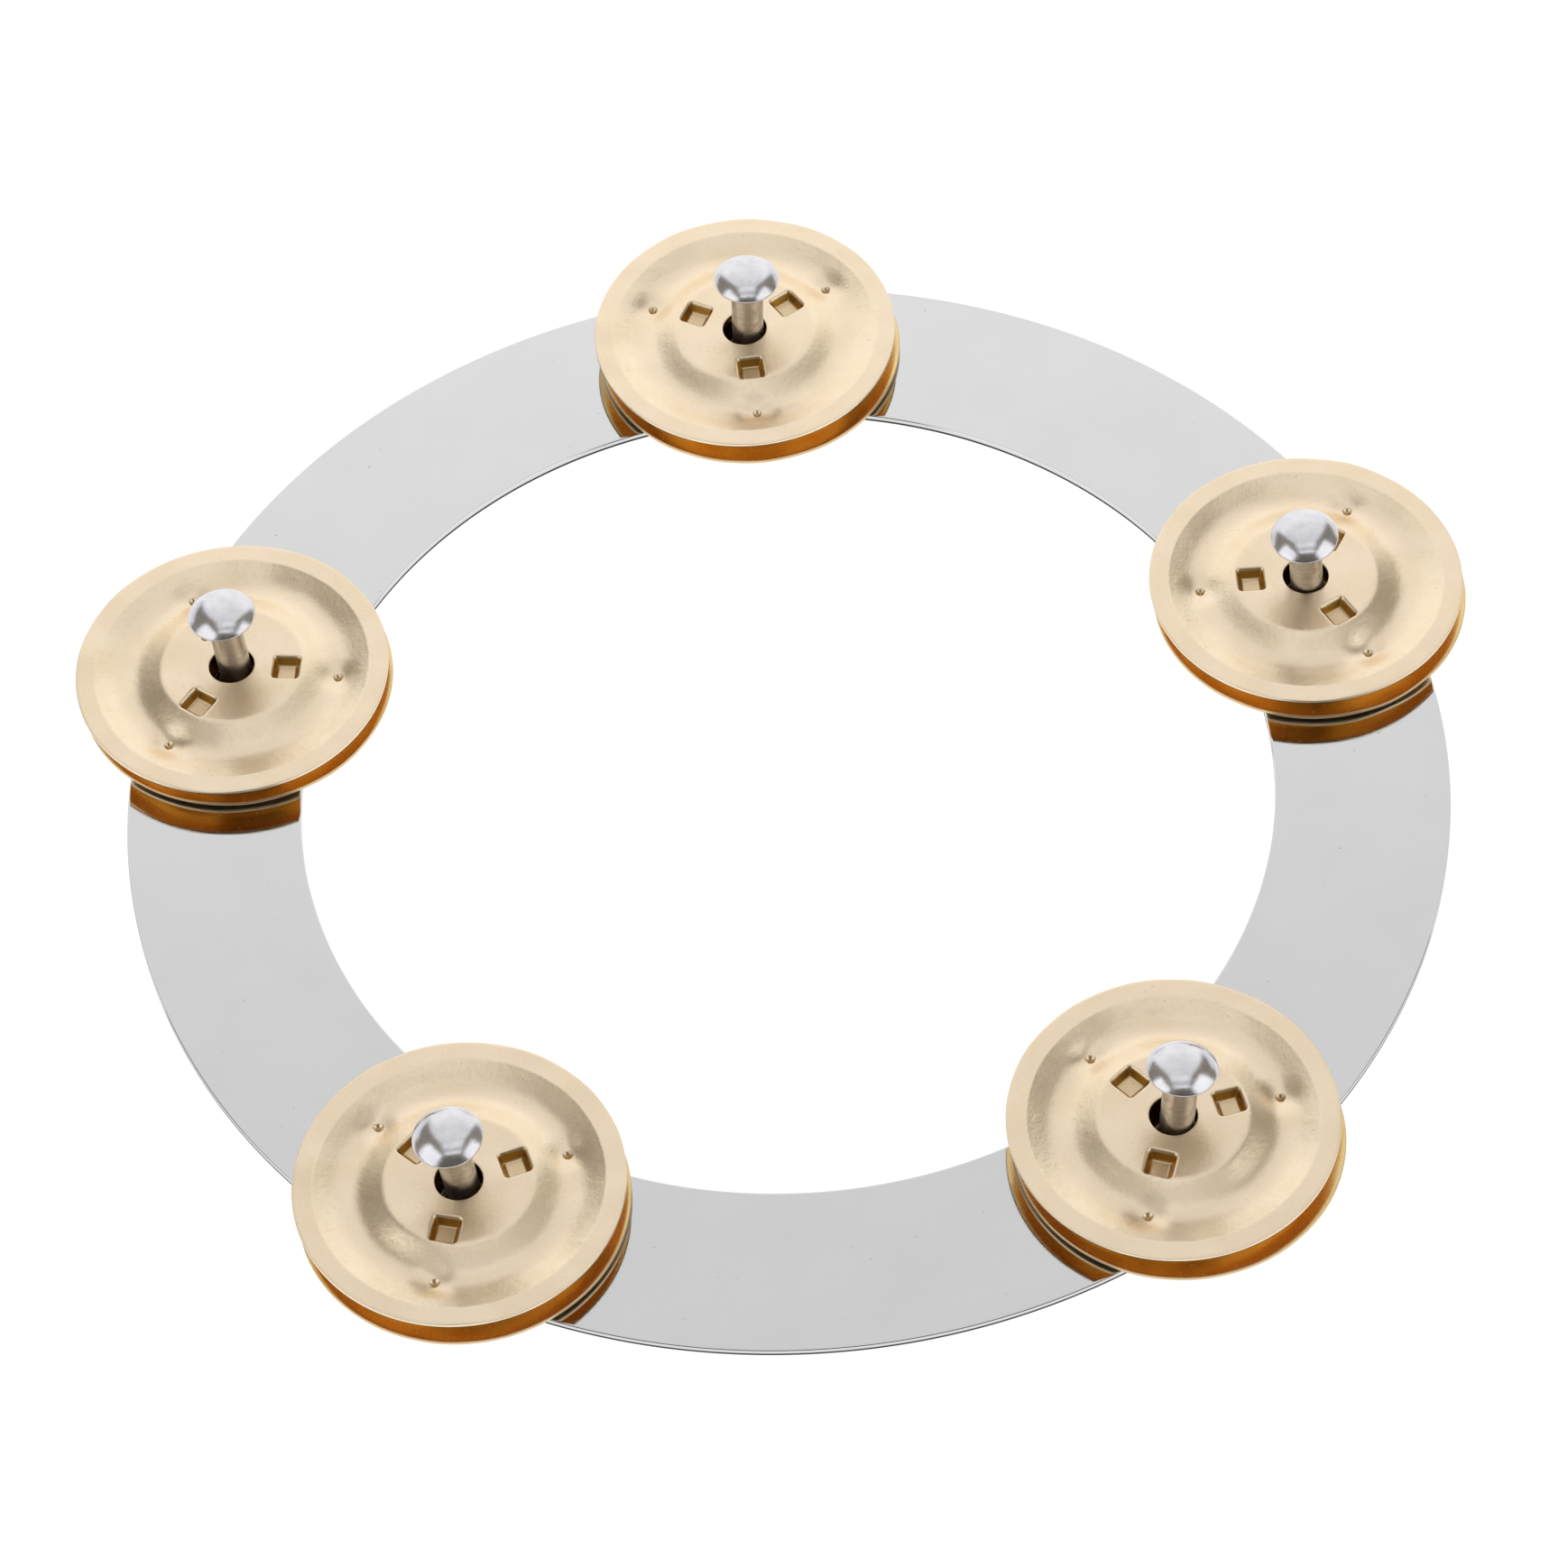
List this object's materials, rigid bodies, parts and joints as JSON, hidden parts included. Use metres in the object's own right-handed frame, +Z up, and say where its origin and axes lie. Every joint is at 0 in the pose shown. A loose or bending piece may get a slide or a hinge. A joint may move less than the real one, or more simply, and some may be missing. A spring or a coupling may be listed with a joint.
{
  "type": "cymbal-top tambourine",
  "caption": "Flat mirror-polished metal ring with pairs of loose dished brass jingles on tall dome-headed rivets, laid over a cymbal.",
  "frame": {"origin": "centre of the ring's opening, on the ring's underside", "axes": "+Z up through the opening towards the rivets' heads; +Y towards stack 1; stacks 1 to 5 run counter-clockwise seen from above"},
  "size_m": [0.1627, 0.1602, 0.0163],
  "materials": {
    "ring": "mirror-polished steel",
    "rivets": "polished head, drawn satin shank",
    "jingles": "pale satin brass, stamped"
  },
  "bodies": {
    "ring_and_rivets": {"ring": "ring", "rivet_1": "rivets", "rivet_2": "rivets", "rivet_3": "rivets", "rivet_4": "rivets", "rivet_5": "rivets"},
    "lower_jingle_1": {"lower_jingle_1": "jingles"},
    "upper_jingle_1": {"upper_jingle_1": "jingles"},
    "lower_jingle_2": {"lower_jingle_2": "jingles"},
    "upper_jingle_2": {"upper_jingle_2": "jingles"},
    "lower_jingle_3": {"lower_jingle_3": "jingles"},
    "upper_jingle_3": {"upper_jingle_3": "jingles"},
    "lower_jingle_4": {"lower_jingle_4": "jingles"},
    "upper_jingle_4": {"upper_jingle_4": "jingles"},
    "lower_jingle_5": {"lower_jingle_5": "jingles"},
    "upper_jingle_5": {"upper_jingle_5": "jingles"}
  },
  "joints": [
    {"name": "lower_slide_1", "type": "slide", "parent": "ring_and_rivets", "child": "lower_jingle_1", "axis": [0.0236, 0.0157, 0.9996], "range_m": [0, 0.0037]},
    {"name": "upper_slide_1", "type": "slide", "parent": "lower_jingle_1", "child": "upper_jingle_1", "axis": [0.0236, 0.0157, 0.9996], "range_m": [0, 0.0037]},
    {"name": "lower_slide_2", "type": "slide", "parent": "ring_and_rivets", "child": "lower_jingle_2", "axis": [-0.0472, 0.0236, 0.9986], "range_m": [0, 0.0037]},
    {"name": "upper_slide_2", "type": "slide", "parent": "lower_jingle_2", "child": "upper_jingle_2", "axis": [-0.0472, 0.0236, 0.9986], "range_m": [0, 0.0037]},
    {"name": "lower_slide_3", "type": "slide", "parent": "ring_and_rivets", "child": "lower_jingle_3", "axis": [-0.0785, -0.0235, 0.9966], "range_m": [0, 0.0037]},
    {"name": "upper_slide_3", "type": "slide", "parent": "lower_jingle_3", "child": "upper_jingle_3", "axis": [-0.0785, -0.0235, 0.9966], "range_m": [0, 0.0037]},
    {"name": "lower_slide_4", "type": "slide", "parent": "ring_and_rivets", "child": "lower_jingle_4", "axis": [0.0549, 0.0784, 0.9954], "range_m": [0, 0.0037]},
    {"name": "upper_slide_4", "type": "slide", "parent": "lower_jingle_4", "child": "upper_jingle_4", "axis": [0.0549, 0.0784, 0.9954], "range_m": [0, 0.0037]},
    {"name": "lower_slide_5", "type": "slide", "parent": "ring_and_rivets", "child": "lower_jingle_5", "axis": [-0.0706, -0.0471, 0.9964], "range_m": [0, 0.0037]},
    {"name": "upper_slide_5", "type": "slide", "parent": "lower_jingle_5", "child": "upper_jingle_5", "axis": [-0.0706, -0.0471, 0.9964], "range_m": [0, 0.0037]}
  ]
}
